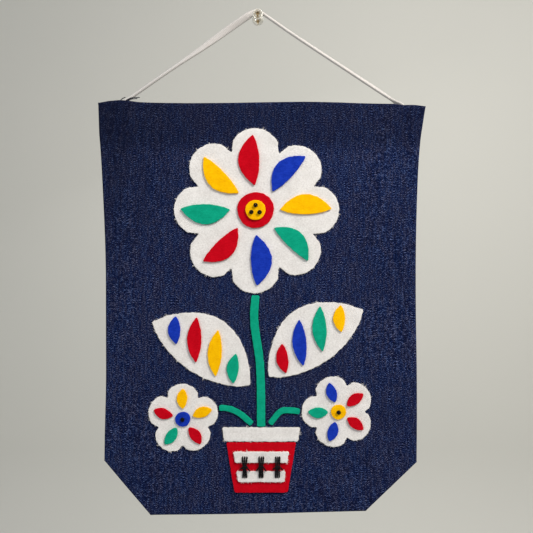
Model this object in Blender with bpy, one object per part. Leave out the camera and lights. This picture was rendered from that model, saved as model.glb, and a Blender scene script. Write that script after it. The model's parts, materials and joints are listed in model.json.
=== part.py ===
"""A small denim wall banner with a felt applique, hung by a flat tape over a push pin.

Sizes in the tables are millimetres. X runs to the right, Z up, and the wall is the plane y = 0, so
everything in front of it has a negative y. The origin is the centre of the pin's rear face.
"""
import math
from collections import namedtuple

import bmesh
import bpy
from mathutils import Vector

MM = 0.001
GAP = 0.3           # clearance between two pieces that touch on the real banner

# Banner cloth
CLOTH_THICK = 1.2
HEM_THICK = 2.4     # the cloth and its turned-back hem
SIDE_HEM = 22.0
TOP_HEM = 30.0
FOLD_INSET = 0.7    # how far the faces stop short of the folded edge
FRONT_Y = -12.0     # front face of the cloth where it hangs flat
CORNER_LEFT = (-150.2, -436.7)   # where the left side ends and the slanted corner starts
CORNER_RIGHT = (156.4, -439.1)
FOOT_LEFT = (-105.0, -490.9)     # where the slanted corner meets the bottom edge
FOOT_RIGHT = (106.2, -487.7)
BOTTOM_BOW = 0.9                 # how far the bottom edge sags between its ends
SLANT_ANGLE = 45.0
ROWS_ABOVE_CORNER = 18
SIDE_COLUMNS = 2                 # columns across a side hem
# Shares of the width between the side hems: closer together near the top corners
MIDDLE_COLUMNS = (0.03, 0.07, 0.12, 0.18, 0.24, 0.3, 0.36, 0.42, 0.48, 0.54, 0.6, 0.66, 0.72,
                  0.78, 0.84, 0.89, 0.935, 0.97)

TopPoint = namedtuple("TopPoint", "x z")
TOP_EDGE = (
    TopPoint(-158.6, -84.3), TopPoint(-154.0, -83.5), TopPoint(-147.8, -82.7),
    TopPoint(-138.5, -82.4), TopPoint(-129.0, -83.2), TopPoint(-119.0, -85.0),
    TopPoint(-81.0, -86.1), TopPoint(-41.0, -86.1), TopPoint(3.0, -85.4), TopPoint(47.0, -84.9),
    TopPoint(76.5, -85.4), TopPoint(100.0, -86.3), TopPoint(130.0, -87.2), TopPoint(138.0, -87.8),
    TopPoint(143.5, -89.3), TopPoint(151.5, -89.2), TopPoint(157.6, -89.6), TopPoint(163.6, -91.0),
)

SideRow = namedtuple("SideRow", "z left right")
SIDES = (
    SideRow(-440, -150.2, 156.4), SideRow(-407, -150.0, 156.7), SideRow(-365, -149.2, 156.7),
    SideRow(-327, -149.2, 156.4), SideRow(-290, -149.3, 155.8), SideRow(-250, -149.4, 155.5),
    SideRow(-218, -150.2, 155.6), SideRow(-186, -151.8, 156.1), SideRow(-154, -153.8, 157.0),
    SideRow(-133, -155.5, 158.2), SideRow(-113, -157.5, 160.1), SideRow(-98, -158.4, 162.4),
    SideRow(-83, -158.6, 165.0),
)

# Soft swells of the hanging cloth: centre, half width, half height, rise towards the viewer
Swell = namedtuple("Swell", "x z half_width half_height rise")
SWELLS = (
    Swell(-162, -80, 30, 75, -5.5),     # upper left corner, curled back to the wall
    Swell(166, -88, 30, 90, 5.0),       # upper right corner, curled forward
    Swell(-126, -200, 20, 120, 1.3),    # soft fold below the left end of the tape
    Swell(-104, -190, 16, 110, -0.8),   # hollow beside that fold
    Swell(134, -200, 26, 60, 1.5),      # bulge on the right
    Swell(130, -305, 30, 45, -1.2),     # hollow below that bulge
    Swell(-150, -450, 60, 60, 2.0),     # lower left corner stands a little forward
    Swell(60, -500, 90, 60, -1.0),      # bottom edge hangs closer to the wall on the right
)

# Hanging tape: a flat tape, its path over the pin, and its roll about the path
TAPE_WIDE = 6.5
TAPE_THICK = 3.0
TAPE_CORNER = 1.0
TAPE_STEPS = 6                   # stations between two points of the path
TAPE_GATHER = 0.3                # share of its width that the tape loses where it bends over the pin
TAPE_GATHER_REACH = 6.0          # how far from the pin it is gathered
TapePoint = namedtuple("TapePoint", "x y z roll")
TAPE_PATH = (
    (-145.0, -4.1, -100.0, 86), (-139.0, -4.7, -91.8, 76), (-133.2, -4.7, -83.6, 44),
    (-125.0, -5.1, -78.6, 26), (-96.3, -6.4, -59.2, 26), (-76.4, -7.0, -45.9, 34),
    (-56.6, -7.2, -32.4, 60), (-26.9, -7.2, -11.2, 108), (-14.0, -7.2, -2.2, 114),
    (-7.0, -7.0, 2.5, 100), (-3.2, -6.8, 4.8, 74), (0.2, -6.7, 5.3, 49), (3.2, -6.8, 4.3, 34),
    (6.8, -7.0, 2.1, 28), (15.0, -7.5, -3.9, 27), (32.5, -7.6, -16.1, 29), (52.2, -8.0, -29.4, 32),
    (87.8, -8.7, -53.1, 34), (118.7, -8.8, -73.4, 37), (132.0, -8.4, -82.2, 20),
    (140.7, -8.6, -88.4, -42), (146.0, -10.2, -94.0, -82), (152.0, -11.2, -102.0, -94),
)

# Push pin, turned about the y axis: radius and y of its outline from the wall to the head
PIN_SIDES = 28
NEEDLE_SIDES = 12
NEEDLE_RADIUS = 0.6
NEEDLE_HOLE = NEEDLE_RADIUS + GAP
NEEDLE_FRONT_Y = -9.0
NEEDLE_REACH = 10.0
NEEDLE_TAPER = 3.0
NEEDLE_TIP = 0.09   # radius at the point
TurnPoint = namedtuple("TurnPoint", "radius y")
PIN_PROFILE = (
    TurnPoint(NEEDLE_HOLE, NEEDLE_FRONT_Y - GAP), TurnPoint(NEEDLE_HOLE, 0.0),
    TurnPoint(5.1, 0.0), TurnPoint(5.5, -0.4), TurnPoint(5.5, -1.3), TurnPoint(5.0, -1.9),
    TurnPoint(3.4, -2.5), TurnPoint(2.75, -3.4), TurnPoint(2.6, -6.6), TurnPoint(2.8, -9.9),
    TurnPoint(3.5, -10.8), TurnPoint(4.9, -11.6), TurnPoint(5.15, -12.2), TurnPoint(5.15, -13.2),
    TurnPoint(4.7, -13.7),
)

# Applique: each layer lies on the one below it
FLANNEL_THICK = 1.0
FELT_THICK = 1.2
CELL = 18.0         # spacing of the points that let a piece follow the cloth
STRIP_FULLNESS = 0.8  # how full a pointed strip is towards its ends: lower is fuller
HAND_CUT = 0.015    # how far a hand-cut outline strays from true, as a share of its radius
FIRST_LAYER = GAP
SECOND_LAYER = FIRST_LAYER + FLANNEL_THICK + GAP
POT_LAYER = FIRST_LAYER + FELT_THICK + GAP
THIRD_LAYER = SECOND_LAYER + FELT_THICK + GAP
FOURTH_LAYER = THIRD_LAYER + FELT_THICK + GAP
TIE_LAYER = POT_LAYER + FELT_THICK + GAP

COLOURS = {
    "denim": (0.014, 0.020, 0.056), "cotton": (0.78, 0.75, 0.72), "flannel": (0.62, 0.60, 0.56),
    "red": (0.62, 0.006, 0.020), "blue": (0.010, 0.035, 0.46), "yellow": (0.95, 0.52, 0.008),
    "green": (0.008, 0.36, 0.19), "black": (0.008, 0.008, 0.009), "clear": (0.85, 0.84, 0.80),
    "steel": (0.58, 0.52, 0.42),
}
FINISHES = {"clear": (0.08, 0.0), "steel": (0.25, 1.0), "denim": (0.85, 0.0)}
CLOTH_FINISH = (0.95, 0.0)

# The large blossom
BLOSSOM_X, BLOSSOM_Z = -2.0, -192.0
BLOSSOM_TIP, BLOSSOM_NOTCH = 82.0, 61.0
BLOSSOM_CENTRE, BLOSSOM_EYE = 18.0, 10.0
BLOSSOM_PETALS = 8
ROUNDNESS = 0.55    # lower is rounder petals with sharper notches
Strip = namedtuple("Strip", "colour angle reach length width bow")
BLOSSOM_STRIPS = (
    Strip("red", 92, 49, 50, 21, 5), Strip("blue", 47, 48, 48, 19, 6),
    Strip("yellow", 1, 49, 51, 20, 5), Strip("green", -44, 48, 47, 18, 6),
    Strip("blue", -89, 49, 50, 21, 5), Strip("red", -136, 48, 48, 19, 6),
    Strip("green", 179, 49, 49, 20, 5), Strip("yellow", 134, 48, 50, 19, 6),
)

# Two leaves, each a bent lens from its stem end to its tip, with strips laid across it
Leaf = namedtuple("Leaf", "name x z angle length width bow")
LEAVES = (
    Leaf("leaf_left", -55.0, -332.0, 147, 114, 58, -9),
    Leaf("leaf_right", 57.0, -322.0, 35, 113, 58, 9),
)
LEAF_FULLNESS = 0.75
VEIN_BOW = 2.0
# Place along the leaf as a share of its length, and the strip's turn from the leaf's own angle
Vein = namedtuple("Vein", "colour share length width turn")
LEAF_VEINS = {
    "leaf_left": (
        Vein("green", 0.19, 30, 12, -62), Vein("yellow", 0.39, 46, 14, -60),
        Vein("red", 0.60, 45, 14, -58), Vein("blue", 0.79, 28, 12, -56),
    ),
    "leaf_right": (
        Vein("red", 0.20, 30, 12, 62), Vein("blue", 0.40, 46, 14, 60),
        Vein("green", 0.61, 45, 14, 58), Vein("yellow", 0.80, 27, 12, 56),
    ),
}

# Two small blooms on side stems
Bloom = namedtuple("Bloom", "name x z tip notch petals turn centre")
BLOOMS = (
    Bloom("bloom_left", -73.0, -396.0, 35.0, 25.0, 5, 90, "blue"),
    Bloom("bloom_right", 79.0, -389.0, 36.0, 26.0, 5, 36, "yellow"),
)
BLOOM_PETALS = {
    "bloom_left": ("yellow", "red", "green", "red", "yellow"),
    "bloom_right": ("red", "blue", "green", "blue", "red"),
}
BLOOM_CENTRE = 7.5
PETAL_REACH, PETAL_LENGTH, PETAL_WIDTH, PETAL_BOW = 20.0, 20.5, 10.5, 0.8

# Stems as bands along a few points
STEM_WIDTH = 8.0
SIDE_STEM_WIDTH = 5.5
STEMS = {
    "stem_main": (STEM_WIDTH, ((-2.0, -275.2), (-3.2, -302.0), (2.5, -345.0), (3.5, -403.5))),
    "stem_left": (SIDE_STEM_WIDTH, ((-5.5, -401.0), (-17.0, -391.0), (-28.0, -386.0), (-37.6, -385.2))),
    "stem_right": (SIDE_STEM_WIDTH, ((12.0, -401.0), (22.0, -389.0), (31.0, -387.5), (41.2, -388.8))),
}

# Pot: a tapered red shape with a white rim and two white bands
POT_X = 3.5
POT_TOP, POT_BOTTOM = -419.0, -468.0
POT_TOP_WIDTH, POT_BOTTOM_WIDTH = 68.0, 52.0
RIM_TOP, RIM_BOTTOM, RIM_WIDTH, RIM_TAPER = -404.5, -418.0, 76.0, 4.0
BAND_HEIGHT, BAND_TAPER = 10.5, 3.0
BANDS = {"pot_band_upper": (-433.0, 54.0), "pot_band_lower": (-452.0, 48.0)}
TIE_X = (-16.0, 0.0, 16.0)
TIE_LENGTH, TIE_WIDTH, TIE_THICK = 21.0, 2.6, 1.6

# Yarn knots: centre and the top of the layer they sit on
KNOT_RADIUS, KNOT_RISE = 2.4, 1.4
Knot = namedtuple("Knot", "name x z layer")
EYE_SPREAD = 4.6
KNOTS = tuple(
    Knot(f"knot_centre_{i + 1}", BLOSSOM_X + EYE_SPREAD * math.sin(turn),
         BLOSSOM_Z + EYE_SPREAD * math.cos(turn), FOURTH_LAYER)
    for i, turn in enumerate((0.0, math.tau / 3, 2 * math.tau / 3))
) + tuple(Knot(f"knot_{b.name[6:]}", b.x, b.z, THIRD_LAYER) for b in BLOOMS)


def clear_scene():
    for thing in list(bpy.data.objects):
        bpy.data.objects.remove(thing, do_unlink=True)


def material(name):
    found = bpy.data.materials.get(name)
    if found:
        return found
    made = bpy.data.materials.new(name)
    made.use_nodes = True
    shader = made.node_tree.nodes["Principled BSDF"]
    roughness, metallic = FINISHES.get(name, CLOTH_FINISH)
    shader.inputs["Base Color"].default_value = (*COLOURS[name], 1.0)
    shader.inputs["Roughness"].default_value = roughness
    shader.inputs["Metallic"].default_value = metallic
    return made


def add_object(name, bm, colour, smooth_below=0):
    """Turn a mesh in millimetres into an object in metres."""
    bmesh.ops.scale(bm, vec=(MM, MM, MM), verts=bm.verts)
    bmesh.ops.recalc_face_normals(bm, faces=bm.faces)
    mesh = bpy.data.meshes.new(name)
    bm.to_mesh(mesh)
    bm.free()
    mesh.materials.append(material(colour))
    if smooth_below:
        mesh.shade_smooth()
        mesh.set_sharp_from_angle(angle=math.radians(smooth_below))
    thing = bpy.data.objects.new(name, mesh)
    bpy.context.collection.objects.link(thing)
    return thing


def smooth_value(rows, key, column, at):
    """Value of a column at a key, on a smooth curve through a table sorted by that key."""
    keys = [getattr(row, key) for row in rows]
    values = [getattr(row, column) for row in rows]
    at = min(max(at, keys[0]), keys[-1])
    i = max(j for j in range(len(keys) - 1) if keys[j] <= at)

    def slope(j):
        low, high = max(j - 1, 0), min(j + 1, len(keys) - 1)
        return (values[high] - values[low]) / (keys[high] - keys[low])

    span = keys[i + 1] - keys[i]
    t = (at - keys[i]) / span
    start, end = slope(i) * span, slope(i + 1) * span
    return (values[i] * (2 * t**3 - 3 * t**2 + 1) + start * (t**3 - 2 * t**2 + t)
            + values[i + 1] * (3 * t**2 - 2 * t**3) + end * (t**3 - t**2))


def front_y(x, z):
    """Depth of the cloth's front face."""
    rise = sum(s.rise * math.exp(-((x - s.x) / s.half_width) ** 2 - ((z - s.z) / s.half_height) ** 2)
               for s in SWELLS)
    return FRONT_Y - rise


def slant(corner, foot, z):
    """X of the slanted corner's edge at a height."""
    return corner[0] + (foot[0] - corner[0]) * (corner[1] - z) / (corner[1] - foot[1])


def slant_hem(corner, foot):
    """Horizontal width of the hem along the slanted corner."""
    run, drop = foot[0] - corner[0], corner[1] - foot[1]
    return SIDE_HEM * math.hypot(run, drop) / drop


def side_limits(z_left, z_right):
    """Outer edge and inner hem line at the two ends of a row."""
    left = smooth_value(SIDES, "z", "left", z_left)
    right = smooth_value(SIDES, "z", "right", z_right)
    inner_z_left = max(z_left, FOOT_LEFT[1] + SIDE_HEM)
    inner_z_right = max(z_right, FOOT_RIGHT[1] + SIDE_HEM)
    inner_left = max(left + SIDE_HEM,
                     slant(CORNER_LEFT, FOOT_LEFT, inner_z_left) + slant_hem(CORNER_LEFT, FOOT_LEFT))
    inner_right = min(right - SIDE_HEM,
                      slant(CORNER_RIGHT, FOOT_RIGHT, inner_z_right) - slant_hem(CORNER_RIGHT, FOOT_RIGHT))
    if z_left < CORNER_LEFT[1]:
        left = slant(CORNER_LEFT, FOOT_LEFT, z_left)
    if z_right < CORNER_RIGHT[1]:
        right = slant(CORNER_RIGHT, FOOT_RIGHT, z_right)
    return left, inner_left, inner_right, right


def row_heights():
    """Height of each row at its left and right ends, and whether it lies in the bottom hem."""
    top_left, top_right = TOP_EDGE[0].z, TOP_EDGE[-1].z
    mitre = SIDE_HEM * math.tan(math.radians(SLANT_ANGLE / 2))   # where the hem's inner line turns
    low_left, low_right = CORNER_LEFT[1] + mitre, CORNER_RIGHT[1] + mitre
    rows = [(top_left, top_right)]
    for i in range(ROWS_ABOVE_CORNER + 1):
        share = i / ROWS_ABOVE_CORNER
        rows.append(((top_left - TOP_HEM) * (1 - share) + low_left * share,
                     (top_right - TOP_HEM) * (1 - share) + low_right * share))
    hem_left, hem_right = FOOT_LEFT[1] + SIDE_HEM, FOOT_RIGHT[1] + SIDE_HEM
    rows.append((CORNER_LEFT[1], CORNER_RIGHT[1]))
    rows.append(((CORNER_LEFT[1] + hem_left) / 2, (CORNER_RIGHT[1] + hem_right) / 2))
    rows.append((hem_left, hem_right))
    rows.append((FOOT_LEFT[1], FOOT_RIGHT[1]))
    return rows


def cloth_points():
    """Rows of (x, z) over the whole cloth, and the columns and rows where the hems end."""
    grid = []
    rows = row_heights()
    height = rows[0][0] - rows[-1][0]
    for z_left, z_right in rows:
        left, inner_left, inner_right, right = side_limits(z_left, z_right)
        xs = [left + (inner_left - left) * i / SIDE_COLUMNS for i in range(SIDE_COLUMNS + 1)]
        xs += [inner_left + (inner_right - inner_left) * share for share in MIDDLE_COLUMNS]
        xs += [inner_right + (right - inner_right) * i / SIDE_COLUMNS for i in range(SIDE_COLUMNS + 1)]
        fade = (z_left - rows[-1][0]) / height
        line = []
        for x in xs:
            share = (x - left) / (right - left)
            top_x = TOP_EDGE[0].x + (TOP_EDGE[-1].x - TOP_EDGE[0].x) * share
            straight = TOP_EDGE[0].z + (TOP_EDGE[-1].z - TOP_EDGE[0].z) * share
            uneven = (smooth_value(TOP_EDGE, "x", "z", top_x) - straight) * fade
            uneven -= BOTTOM_BOW * math.sin(math.pi * share) * (1 - fade)
            line.append((x, z_left + (z_right - z_left) * share + uneven))
        grid.append(line)
    return grid


def inset_from_edge(i, j, last_row, last_column, x, z):
    """Move a point of the outer ring in from the fold."""
    across = (j == 0) - (j == last_column)
    up = (i == last_row) - (i == 0)
    if across and CORNER_LEFT[1] > z and not up:
        up = 1
    length = math.hypot(across, up) or 1.0
    return x + FOLD_INSET * across / length, z + FOLD_INSET * up / length


def make_cloth():
    """One sheet with its hem turned to the back: a thin middle, a thick border, a rounded fold."""
    grid = cloth_points()
    last_row, last_column = len(grid) - 1, len(grid[0]) - 1
    hem_columns = (SIDE_COLUMNS, last_column - SIDE_COLUMNS)
    hem_rows = (1, last_row - 1)
    bm = bmesh.new()
    front, thin, thick, fold = {}, {}, {}, {}
    for i, line in enumerate(grid):
        for j, (x, z) in enumerate(line):
            rim = i in (0, last_row) or j in (0, last_column)
            y = front_y(x, z)
            if rim:
                fold[i, j] = bm.verts.new((x, y + HEM_THICK / 2, z))
                x, z = inset_from_edge(i, j, last_row, last_column, x, z)
            front[i, j] = bm.verts.new((x, y, z))
            inside = hem_rows[0] <= i <= hem_rows[1] and hem_columns[0] <= j <= hem_columns[1]
            core = hem_rows[0] < i < hem_rows[1] and hem_columns[0] < j < hem_columns[1]
            if inside:
                thin[i, j] = bm.verts.new((x, y + CLOTH_THICK, z))
            if not core:
                thick[i, j] = bm.verts.new((x, y + HEM_THICK, z))
    for i in range(last_row):
        for j in range(last_column):
            cell = ((i, j), (i, j + 1), (i + 1, j + 1), (i + 1, j))
            bm.faces.new([front[c] for c in cell])
            middle = hem_rows[0] <= i < hem_rows[1] and hem_columns[0] <= j < hem_columns[1]
            back = thin if middle else thick
            bm.faces.new([back[c] for c in reversed(cell)])

    def ring(rows, columns):
        top, bottom = rows
        left, right = columns
        return ([(top, j) for j in range(left, right)] + [(i, right) for i in range(top, bottom)]
                + [(bottom, j) for j in range(right, left, -1)]
                + [(i, left) for i in range(bottom, top, -1)])

    def wall(loop, lower, upper):
        for a, b in zip(loop, loop[1:] + loop[:1]):
            bm.faces.new((lower[a], lower[b], upper[b], upper[a]))

    outside = ring((0, last_row), (0, last_column))
    wall(outside, front, fold)
    wall(outside, fold, thick)
    wall(ring(hem_rows, hem_columns), thin, thick)
    return add_object("banner_cloth", bm, "denim")


def catmull(points, steps):
    """Points on a smooth curve through the given ones, ends included."""
    result = []
    for i in range(len(points) - 1):
        p0, p1 = points[max(i - 1, 0)], points[i]
        p2, p3 = points[i + 1], points[min(i + 2, len(points) - 1)]
        for k in range(steps):
            t = k / steps
            result.append(tuple(
                0.5 * (2 * b + (c - a) * t + (2 * a - 5 * b + 4 * c - d) * t**2
                       + (3 * b - a - 3 * c + d) * t**3)
                for a, b, c, d in zip(p0, p1, p2, p3)))
    result.append(tuple(points[-1]))
    return result


def make_tape():
    """A flat tape swept along its path, turned about it by its roll."""
    half_w, half_t, cut = TAPE_WIDE / 2, TAPE_THICK / 2, TAPE_CORNER
    section = [(half_w, -half_t + cut), (half_w, half_t - cut), (half_w - cut, half_t),
               (cut - half_w, half_t), (-half_w, half_t - cut), (-half_w, cut - half_t),
               (cut - half_w, -half_t), (half_w - cut, -half_t)]
    stations = catmull(TAPE_PATH, TAPE_STEPS)
    bm = bmesh.new()
    rings = []
    for i, (x, y, z, roll) in enumerate(stations):
        before, after = stations[max(i - 1, 0)], stations[min(i + 1, len(stations) - 1)]
        along = (Vector(after[:3]) - Vector(before[:3])).normalized()
        flat = Vector((0, -1, 0))
        flat = (flat - along * flat.dot(along)).normalized()
        up = along.cross(flat).normalized()
        if up.z < 0:
            up = -up
        turn = math.radians(roll)
        gathered = 1 - TAPE_GATHER * math.exp(-(x / TAPE_GATHER_REACH) ** 2)
        wide = (flat * math.cos(turn) - up * math.sin(turn)) * gathered
        thick = flat * math.sin(turn) + up * math.cos(turn)
        rings.append([bm.verts.new(Vector((x, y, z)) + wide * a + thick * b) for a, b in section])
    for low, high in zip(rings, rings[1:]):
        for k in range(len(section)):
            n = (k + 1) % len(section)
            bm.faces.new((low[k], low[n], high[n], high[k]))
    bm.faces.new(rings[0])
    bm.faces.new(reversed(rings[-1]))
    return add_object("hanging_tape", bm, "cotton", smooth_below=35)


def turned(name, profile, sides, colour):
    """A solid turned about the y axis, closed at both ends of its profile."""
    bm = bmesh.new()
    rings = []
    for radius, y in profile:
        rings.append([bm.verts.new((radius * math.cos(a), y, radius * math.sin(a)))
                      for a in (math.tau * k / sides for k in range(sides))])
    for low, high in zip(rings, rings[1:]):
        for k in range(sides):
            n = (k + 1) % sides
            bm.faces.new((low[k], low[n], high[n], high[k]))
    bm.faces.new(rings[0])
    bm.faces.new(rings[-1])
    return add_object(name, bm, colour, smooth_below=40)


def make_pin():
    turned("pin_body", PIN_PROFILE, PIN_SIDES, "clear")
    needle = (
        TurnPoint(NEEDLE_RADIUS, NEEDLE_FRONT_Y), TurnPoint(NEEDLE_RADIUS, NEEDLE_REACH - NEEDLE_TAPER),
        TurnPoint(NEEDLE_TIP, NEEDLE_REACH),
    )
    turned("pin_needle", needle, NEEDLE_SIDES, "steel")


def laid_piece(name, outline, layer, thickness, colour):
    """A thin piece cut to an outline, lying on the cloth's front at a height above it."""
    bm = bmesh.new()
    bm.faces.new([bm.verts.new((x, 0, z)) for x, z in outline])
    for axis in (0, 2):
        low = min(v.co[axis] for v in bm.verts)
        high = max(v.co[axis] for v in bm.verts)
        normal = Vector((1, 0, 0)) if axis == 0 else Vector((0, 0, 1))
        for k in range(math.ceil(low / CELL), math.floor(high / CELL) + 1):
            bmesh.ops.bisect_plane(bm, geom=bm.verts[:] + bm.edges[:] + bm.faces[:],
                                   plane_co=normal * k * CELL, plane_no=normal)
    bmesh.ops.triangulate(bm, faces=bm.faces[:])
    for v in bm.verts:
        v.co.y = front_y(v.co.x, v.co.z) - layer
    raised = bmesh.ops.extrude_face_region(bm, geom=bm.faces[:])
    for v in raised["geom"]:
        if isinstance(v, bmesh.types.BMVert):
            v.co.y -= thickness
    return add_object(name, bm, colour)


def lens(x, z, angle, length, width, bow, steps=7, power=STRIP_FULLNESS):
    """Outline of a strip that is pointed at both ends and bent by its bow."""
    turn = math.radians(angle)
    axis, side = (math.cos(turn), math.sin(turn)), (-math.sin(turn), math.cos(turn))

    def place(share, half):
        along = (share - 0.5) * length
        across = bow * (1 - (2 * share - 1) ** 2) + half * max(math.sin(math.pi * share), 0) ** power
        return x + axis[0] * along + side[0] * across, z + axis[1] * along + side[1] * across

    shares = [k / steps for k in range(steps + 1)]
    return ([place(s, width / 2) for s in shares]
            + [place(s, -width / 2) for s in reversed(shares[1:-1])])


def scallops(x, z, tip, notch, petals, turn, steps=10):
    """Outline of a flower with round petals, a little uneven as cut by hand."""
    points = []
    for k in range(petals * steps):
        angle = math.tau * k / (petals * steps)
        swell = abs(math.cos(petals * angle / 2)) ** ROUNDNESS
        uneven = 1 - HAND_CUT * (1 + math.sin(3 * angle + x))
        radius = (notch + (tip - notch) * swell) * uneven
        a = angle + math.radians(turn)
        points.append((x + radius * math.cos(a), z + radius * math.sin(a)))
    return points


def disc(x, z, radius, sides=18):
    """Outline of a hand-cut round, a little out of true."""
    return [(x + radius * (1 + 2 * HAND_CUT * math.sin(3 * a)) * math.cos(a),
             z + radius * (1 + 2 * HAND_CUT * math.sin(2 * a + 1)) * math.sin(a))
            for a in (math.tau * k / sides for k in range(sides))]


def band(points, width):
    """Outline of a strip of even width along a smooth line."""
    line = catmull(points, 4)
    left, right = [], []
    for i, (x, z) in enumerate(line):
        before, after = line[max(i - 1, 0)], line[min(i + 1, len(line) - 1)]
        dx, dz = after[0] - before[0], after[1] - before[1]
        size = math.hypot(dx, dz)
        left.append((x - dz / size * width / 2, z + dx / size * width / 2))
        right.append((x + dz / size * width / 2, z - dx / size * width / 2))
    return left + right[::-1]


def tapered(x, top, bottom, top_width, bottom_width):
    """Outline of a four-sided shape, narrower at one end."""
    return [(x - top_width / 2, top), (x + top_width / 2, top),
            (x + bottom_width / 2, bottom), (x - bottom_width / 2, bottom)]


def make_blossom():
    laid_piece("blossom", scallops(BLOSSOM_X, BLOSSOM_Z, BLOSSOM_TIP, BLOSSOM_NOTCH, BLOSSOM_PETALS, 0),
               FIRST_LAYER, FLANNEL_THICK, "flannel")
    for i, s in enumerate(BLOSSOM_STRIPS):
        turn = math.radians(s.angle)
        outline = lens(BLOSSOM_X + s.reach * math.cos(turn), BLOSSOM_Z + s.reach * math.sin(turn),
                       s.angle, s.length, s.width, s.bow)
        laid_piece(f"blossom_strip_{i + 1}", outline, SECOND_LAYER, FELT_THICK, s.colour)
    laid_piece("blossom_centre", disc(BLOSSOM_X, BLOSSOM_Z, BLOSSOM_CENTRE),
               SECOND_LAYER, FELT_THICK, "red")
    laid_piece("blossom_eye", disc(BLOSSOM_X, BLOSSOM_Z, BLOSSOM_EYE, 14),
               THIRD_LAYER, FELT_THICK, "yellow")


def make_leaves():
    for leaf in LEAVES:
        laid_piece(leaf.name, lens(leaf.x, leaf.z, leaf.angle, leaf.length, leaf.width, leaf.bow,
                                   steps=14, power=LEAF_FULLNESS),
                   FIRST_LAYER, FLANNEL_THICK, "flannel")
        turn = math.radians(leaf.angle)
        for i, v in enumerate(LEAF_VEINS[leaf.name]):
            along = (v.share - 0.5) * leaf.length
            across = leaf.bow * (1 - (2 * v.share - 1) ** 2)
            x = leaf.x + along * math.cos(turn) - across * math.sin(turn)
            z = leaf.z + along * math.sin(turn) + across * math.cos(turn)
            laid_piece(f"{leaf.name}_strip_{i + 1}",
                       lens(x, z, leaf.angle + v.turn, v.length, v.width, VEIN_BOW),
                       SECOND_LAYER, FELT_THICK, v.colour)


def make_blooms():
    for bloom in BLOOMS:
        laid_piece(bloom.name, scallops(bloom.x, bloom.z, bloom.tip, bloom.notch, bloom.petals, bloom.turn),
                   FIRST_LAYER, FLANNEL_THICK, "flannel")
        for i, colour in enumerate(BLOOM_PETALS[bloom.name]):
            angle = bloom.turn + 360 * i / bloom.petals
            turn = math.radians(angle)
            laid_piece(f"{bloom.name}_petal_{i + 1}",
                       lens(bloom.x + PETAL_REACH * math.cos(turn), bloom.z + PETAL_REACH * math.sin(turn),
                            angle, PETAL_LENGTH, PETAL_WIDTH, PETAL_BOW),
                       SECOND_LAYER, FELT_THICK, colour)
        laid_piece(f"{bloom.name}_centre", disc(bloom.x, bloom.z, BLOOM_CENTRE, 14),
                   SECOND_LAYER, FELT_THICK, bloom.centre)


def make_stems_and_pot():
    for name, (width, points) in STEMS.items():
        laid_piece(name, band(points, width), FIRST_LAYER, FELT_THICK, "green")
    laid_piece("pot", tapered(POT_X, POT_TOP, POT_BOTTOM, POT_TOP_WIDTH, POT_BOTTOM_WIDTH),
               FIRST_LAYER, FELT_THICK, "red")
    laid_piece("pot_rim", tapered(POT_X, RIM_TOP, RIM_BOTTOM, RIM_WIDTH, RIM_WIDTH - RIM_TAPER),
               FIRST_LAYER, FELT_THICK, "flannel")
    for name, (z, width) in BANDS.items():
        outline = tapered(POT_X, z + BAND_HEIGHT / 2, z - BAND_HEIGHT / 2, width, width - BAND_TAPER)
        laid_piece(name, outline, POT_LAYER, FELT_THICK, "flannel")
    middle = sum(z for z, _ in BANDS.values()) / len(BANDS)
    for i, x in enumerate(TIE_X):
        line = [(POT_X + x, middle + TIE_LENGTH * share) for share in (0.5, 0, -0.5)]
        laid_piece(f"pot_tie_{i + 1}", band(line, TIE_WIDTH), TIE_LAYER, TIE_THICK, "black")


def make_knots():
    for knot in KNOTS:
        bm = bmesh.new()
        bmesh.ops.create_uvsphere(bm, u_segments=10, v_segments=6, radius=1.0)
        bmesh.ops.scale(bm, vec=(KNOT_RADIUS, KNOT_RISE, KNOT_RADIUS), verts=bm.verts)
        y = front_y(knot.x, knot.z) - knot.layer - KNOT_RISE
        bmesh.ops.translate(bm, vec=(knot.x, y, knot.z), verts=bm.verts)
        add_object(knot.name, bm, "black", smooth_below=60)


def main():
    clear_scene()
    make_cloth()
    make_tape()
    make_pin()
    make_blossom()
    make_leaves()
    make_blooms()
    make_stems_and_pot()
    make_knots()


main()
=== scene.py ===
# %% [markdown]
# # A denim wall banner with felt flowers
# This lesson dresses a small hand-made wall banner: dark denim with hems turned to the back, a flower
# in a pot cut from white flannel and coloured felt, black yarn knots, a flat cotton tape and a clear
# push pin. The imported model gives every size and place, so each piece is fitted to it in metres.

# %% Load the frame
import json
import math
import random

import bmesh
import bpy
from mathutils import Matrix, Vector, noise


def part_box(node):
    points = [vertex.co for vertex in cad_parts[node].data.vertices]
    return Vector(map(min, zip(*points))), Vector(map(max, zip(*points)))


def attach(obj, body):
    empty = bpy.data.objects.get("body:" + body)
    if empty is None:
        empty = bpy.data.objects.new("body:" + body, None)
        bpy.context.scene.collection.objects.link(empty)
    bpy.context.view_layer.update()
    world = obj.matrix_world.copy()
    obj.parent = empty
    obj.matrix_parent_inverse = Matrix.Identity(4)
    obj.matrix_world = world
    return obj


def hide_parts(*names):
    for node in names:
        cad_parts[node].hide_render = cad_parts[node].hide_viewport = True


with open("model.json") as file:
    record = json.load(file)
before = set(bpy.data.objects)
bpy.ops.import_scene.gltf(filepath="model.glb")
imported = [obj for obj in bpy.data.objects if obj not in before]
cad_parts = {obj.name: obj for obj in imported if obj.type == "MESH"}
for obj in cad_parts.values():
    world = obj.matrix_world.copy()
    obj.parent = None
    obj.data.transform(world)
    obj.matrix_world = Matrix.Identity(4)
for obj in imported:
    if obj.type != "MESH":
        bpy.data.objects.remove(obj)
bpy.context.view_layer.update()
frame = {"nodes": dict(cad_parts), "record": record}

MM = 0.001
nodes = frame["nodes"]

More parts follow.
